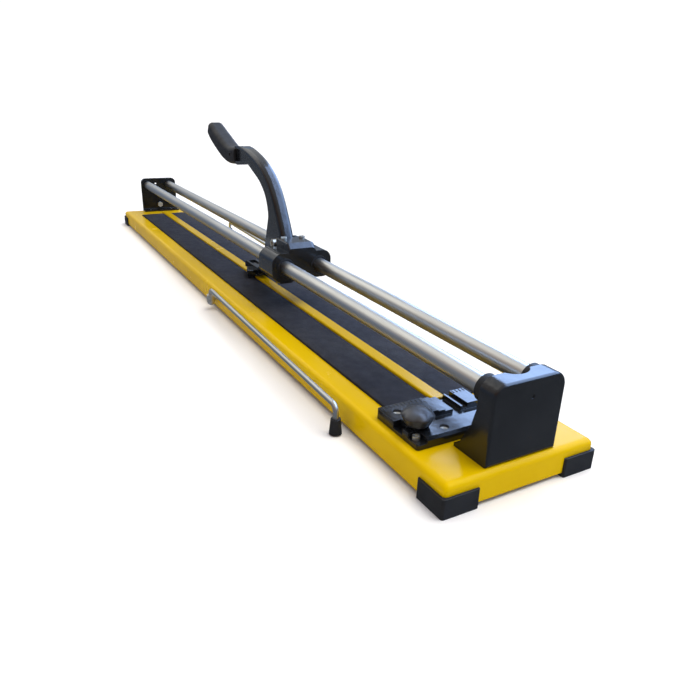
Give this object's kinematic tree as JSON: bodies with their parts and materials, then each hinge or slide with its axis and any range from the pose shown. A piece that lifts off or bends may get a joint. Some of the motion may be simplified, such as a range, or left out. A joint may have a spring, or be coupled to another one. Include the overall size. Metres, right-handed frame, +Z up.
{
  "type": "tile cutter",
  "caption": "Long manual tile cutter: padded yellow bed, chrome twin rails, sliding lever carriage with scoring wheel and breaker foot, side gauge and swing-out support arms.",
  "frame": {"origin": "middle of the footprint, on the surface that the feet stand on", "axes": "+X along the rails towards the gauge end, -Y towards the side with the clamp knob, +Z up"},
  "size_m": [1.536, 0.26, 0.3085],
  "materials": {
    "yellow_paint": "glossy powder coat",
    "bed_foam": "closed-cell foam, matte",
    "black_rubber": "moulded, matte",
    "black_casting": "black enamel over a casting, semi-gloss",
    "rail_chrome": "polished",
    "zinc": "zinc plate",
    "tool_steel": "ground",
    "bush_brass": "turned",
    "grip_plastic": "satin moulding"
  },
  "bodies": {
    "base": {"deck": "yellow_paint", "deck_stiffener": "yellow_paint", "breaker_ridge": "yellow_paint", "foam_pad_left": "bed_foam", "foam_pad_right": "bed_foam", "corner_foot_near_left": "black_rubber", "corner_foot_near_right": "black_rubber", "corner_foot_far_left": "black_rubber", "corner_foot_far_right": "black_rubber", "rail_buffers": "black_rubber", "near_bracket": "black_casting", "far_bracket": "black_casting", "gauge_plate": "black_casting", "rail_left": "rail_chrome", "rail_right": "rail_chrome", "near_bracket_bolts": "zinc", "rail_lock_screws": "zinc", "flange_bolts": "zinc", "stop_bolt": "zinc", "rail_plugs": "zinc", "rail_bolts": "zinc", "gauge_screws": "zinc", "corner_bolt": "zinc", "eye_nuts": "zinc", "eye_bolt_left": "zinc", "eye_bolt_right": "zinc"},
    "carriage": {"carriage_body": "black_casting", "carriage_bushes": "bush_brass", "rail_wipers": "black_rubber", "adjusting_screws": "zinc", "pivot_bolt": "zinc", "pivot_nut": "zinc"},
    "lever": {"lever_arm": "black_casting", "pivot_bush": "bush_brass", "grip": "grip_plastic", "grip_screw": "zinc", "wheel_holder": "zinc", "wheel_axle": "zinc", "holder_screw": "zinc", "foot_pin": "zinc"},
    "wheel": {"scoring_wheel": "tool_steel"},
    "breaker": {"breaker_foot": "black_casting", "foot_pads": "black_rubber"},
    "side_stop": {"sliding_stop": "black_casting", "knob_washer": "zinc"},
    "knob": {"clamp_knob": "grip_plastic"},
    "arm_left": {"support_arm_left": "rail_chrome", "arm_rings_left": "zinc", "arm_tip_left": "black_rubber"},
    "arm_right": {"support_arm_right": "rail_chrome", "arm_rings_right": "zinc", "arm_tip_right": "black_rubber"}
  },
  "joints": [
    {"name": "carriage_slide", "type": "slide", "parent": "base", "child": "carriage", "axis": [1, 0, 0], "range_m": [-0.73, 0.475]},
    {"name": "lever_pivot", "type": "hinge", "parent": "carriage", "child": "lever", "pos_m": [0.172, 0, 0.133], "axis": [0, 1, 0], "range_deg": [0, 18]},
    {"name": "breaker_rock", "type": "hinge", "parent": "lever", "child": "breaker", "pos_m": [0.088, 0, 0.068], "axis": [0, 1, 0], "range_deg": [-18, 0]},
    {"name": "wheel_spin", "type": "hinge", "parent": "lever", "child": "wheel", "pos_m": [0.128, 0, 0.059], "axis": [0, 1, 0], "continuous": true},
    {"name": "stop_slide", "type": "slide", "parent": "base", "child": "side_stop", "axis": [0, 1, 0], "range_m": [-0.005, 0.035]},
    {"name": "knob_turn", "type": "hinge", "parent": "side_stop", "child": "knob", "pos_m": [0.6745, -0.07, 0.06], "axis": [0, 0, 1], "range_deg": [0, 270]},
    {"name": "arm_left_swing", "type": "hinge", "parent": "base", "child": "arm_left", "pos_m": [0.082, -0.11, 0.0205], "axis": [0, 0, 1], "range_deg": [-90, 0.8]},
    {"name": "arm_right_swing", "type": "hinge", "parent": "base", "child": "arm_right", "pos_m": [-0.005, 0.11, 0.0205], "axis": [0, 0, 1], "range_deg": [-90, 2]}
  ],
  "couplings": [
    {"joint": "breaker_rock", "follows": "lever_pivot", "ratio": -1}
  ]
}
